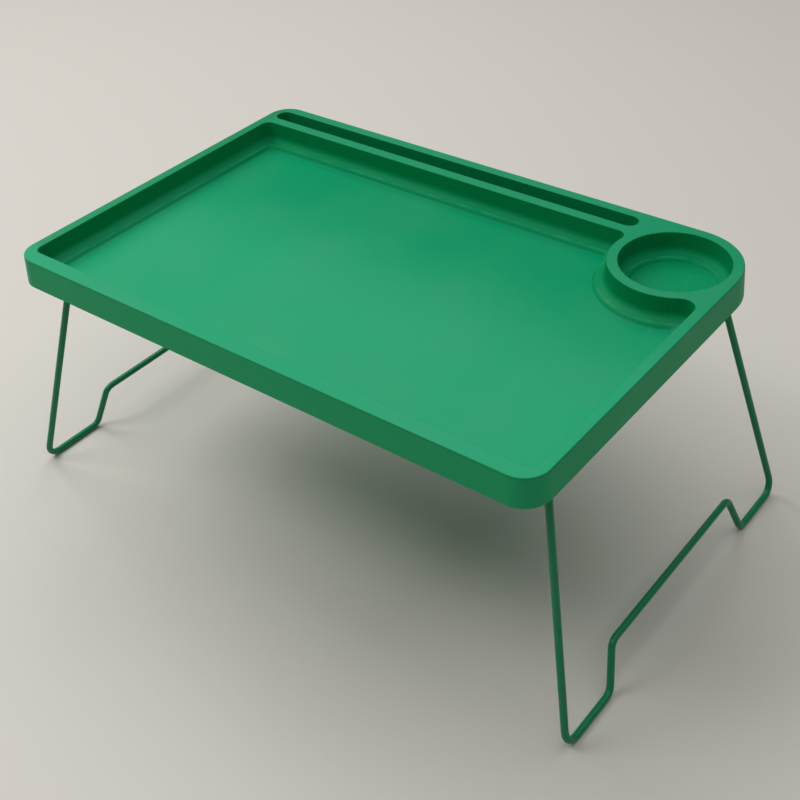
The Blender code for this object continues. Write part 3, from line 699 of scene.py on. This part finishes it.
def tray_plastic():
    made, shader, own_colour = moulded_plastic("tray_moulded_green", FRONT_LIT_GREEN, 0.45, 0.05, 0.30)
    tree = made.node_tree
    place, normal = coordinates(tree)
    zones = place_group(tree, tray_zones, {"Place": place, "Normal": normal, **WELLS}).outputs
    ridge = place_group(tree, rubbed_and_highlight_level, {"Place": place, **RIDGE}).outputs["Mask"]
    # Painted light and shade on the zones: skirt, wells, edge line, ledge highlight and left rim.
    shades = [
        (times(tree, zones["Skirt"], SKIRT_SHADE_SHARE), SKIRT_SHADED_GREEN),
        (zones["Wells"], WELL_SHADE_GREEN),
        (times(tree, zones["Edge"], EDGE_SHARE), WELL_SHADE_GREEN),
        (times(tree, ridge, RIDGE_HIGHLIGHT_SHARE), RIDGE_HIGHLIGHT_GREEN),
        (times(tree, zones["Left rim shade"], LEFT_RIM_SHADE_SHARE), WELL_SHADE_GREEN),
    ]
    # Painted light: the colour runs from the darker back green to the lighter front green.
    colour = mix_colours(tree, zones["Forward"], BACK_SHADED_GREEN, FRONT_LIT_GREEN)
    for share, shade in shades:
        colour = mix_colours(tree, share, colour, shade)
    feed(tree, own_colour, colour)
    inside_back = times(tree, zones["Inside back"], INSIDE_BACK_SHARE)
    dull = maths(tree, "MAXIMUM", zones["Wells"], inside_back)
    feed(tree, shader.inputs["Coat Weight"], remap(tree, dull, 0.0, 1.0, SKIN_SHARE, 0.0))
    shader.inputs["Coat Roughness"].default_value = SKIN_ROUGHNESS
    shader.inputs["Specular IOR Level"].default_value = BARE_SHINE
    return made


tray_finish = tray_plastic()
print("built", tray_finish.name)

# %% [markdown]
# ## Hinge caps and storage clips
# The small fittings below are moulded from the same green plastic, but in plainer moulds
# that leave a duller, coarser skin. The same recipe with other numbers does for them.

# %% Fittings' plastic
CAP_GREEN = (0.004, 0.240, 0.088, 1.0)
CLIP_GREEN = (0.005, 0.225, 0.085, 1.0)
cap_finish, _, _ = moulded_plastic("hinge_cap_green", CAP_GREEN, 0.52, 0.05, 0.2)
clip_finish, _, _ = moulded_plastic("storage_clip_green", CLIP_GREEN, 0.54, 0.05, 0.2)
print("built", cap_finish.name, "and", clip_finish.name)

# %% [markdown]
# ## The wire legs' coating
# The legs are steel wire with a baked green powder coat. The powder melts into a thin glossy
# skin with a slight orange peel, which shows as a broken highlight along the wire. Where the
# feet scrape the floor it is scuffed to a duller, paler green.

# %% Leg coating
COAT_GREEN = (0.001, 0.215, 0.083, 1.0)
SCUFFED_GREEN = (0.050, 0.240, 0.130, 1.0)
COAT_SHINE = 0.30
COAT_DRIFT = {"Colour": COAT_GREEN, "Scale": 18.0, "Strength": 0.05}
FOOT_SCUFF = {"Level": cad_low.z, "Reach": 0.0035, "Breakup scale": 260.0}
WIRE_SCRATCHES = {"Length scale": 30.0, "Width scale": 900.0}
SCRATCH_SHARE = 0.3
ORANGE_PEEL = {"Fine scale": 1300.0, "Broad scale": 420.0, "Broad share": 0.6}
PEEL_STRENGTH = 0.5
PEEL_DEPTH = 0.00006


def powder_coat(name):
    made, shader = plain_material(name, COAT_GREEN[:3], 0.3)
    tree = made.node_tree
    place, _ = coordinates(tree)
    drift = place_group(tree, colour_drift, {"Place": place, **COAT_DRIFT}).outputs["Colour"]
    foot = place_group(tree, rubbed_and_highlight_level, {"Place": place, **FOOT_SCUFF}).outputs["Mask"]
    lines = place_group(tree, hairlines, {"Place": place, **WIRE_SCRATCHES}).outputs["Mask"]
    peel = place_group(tree, surface_grain, {"Place": place, **ORANGE_PEEL}).outputs["Height"]
    worn = maths(tree, "MAXIMUM", foot, times(tree, lines, SCRATCH_SHARE))
    feed(tree, shader.inputs["Base Color"], mix_colours(tree, worn, drift, SCUFFED_GREEN))
    uneven = remap(tree, noise(tree, place, 60.0, 2.0), 0.3, 0.7, 0.17, 0.26)
    feed(tree, shader.inputs["Roughness"], plus(tree, uneven, times(tree, worn, 0.3)))
    feed(tree, shader.inputs["Normal"], bump(tree, peel, PEEL_STRENGTH, PEEL_DEPTH))
    shader.inputs["Specular IOR Level"].default_value = COAT_SHINE
    return made


leg_finish = powder_coat("leg_powder_coat")
print("built", leg_finish.name)

# %% [markdown]
# ## Zinc-plated screws
# The screws are steel with a thin bright zinc plating, a little uneven and slightly dulled.
# The metal takes its colour from what it reflects, so only roughness and a faint mottling
# have to be made.

# %% Screw plating
ZINC = (0.62, 0.63, 0.63, 1.0)
ZINC_DULL = (0.44, 0.44, 0.42, 1.0)
ZINC_DRIFT = {"Colour": ZINC, "Scale": 200.0, "Strength": 0.08}
ZINC_GRAIN = {"Fine scale": 3500.0, "Broad scale": 500.0}
ZINC_GRAIN_STRENGTH = 0.3
ZINC_GRAIN_DEPTH = 0.00002


def zinc_plating(name):
    made, shader = plain_material(name, ZINC[:3], 0.3, 1.0)
    tree = made.node_tree
    place, _ = coordinates(tree)
    blotches = remap(tree, noise(tree, place, 420.0, 3.0), 0.4, 0.7)
    drift = place_group(tree, colour_drift, {"Place": place, **ZINC_DRIFT}).outputs["Colour"]
    grain = place_group(tree, surface_grain, {"Place": place, **ZINC_GRAIN}).outputs["Height"]
    feed(tree, shader.inputs["Base Color"], mix_colours(tree, blotches, drift, ZINC_DULL))
    feed(tree, shader.inputs["Roughness"], remap(tree, blotches, 0.0, 1.0, 0.26, 0.46))
    feed(tree, shader.inputs["Normal"], bump(tree, grain, ZINC_GRAIN_STRENGTH, ZINC_GRAIN_DEPTH))
    return made


screw_finish = zinc_plating("screw_zinc_plating")
print("built", screw_finish.name)

# %% [markdown]
# ## Dressing the pieces
# Every piece's name says what it is, so its finish follows from how its name starts.

# %% Dressing
FINISHES = {
    "tray_body": tray_finish,
    "leg_": leg_finish,
    "hinge_cap_": cap_finish,
    "storage_clip_": clip_finish,
    "hinge_screw_": screw_finish,
    "clip_screw_": screw_finish,
}

for node_name, node in nodes.items():
    finish = next(made for start, made in FINISHES.items() if node_name.startswith(start))
    for material_slot in node.material_slots:
        material_slot.material = finish
print("dressed pieces:", len(nodes))
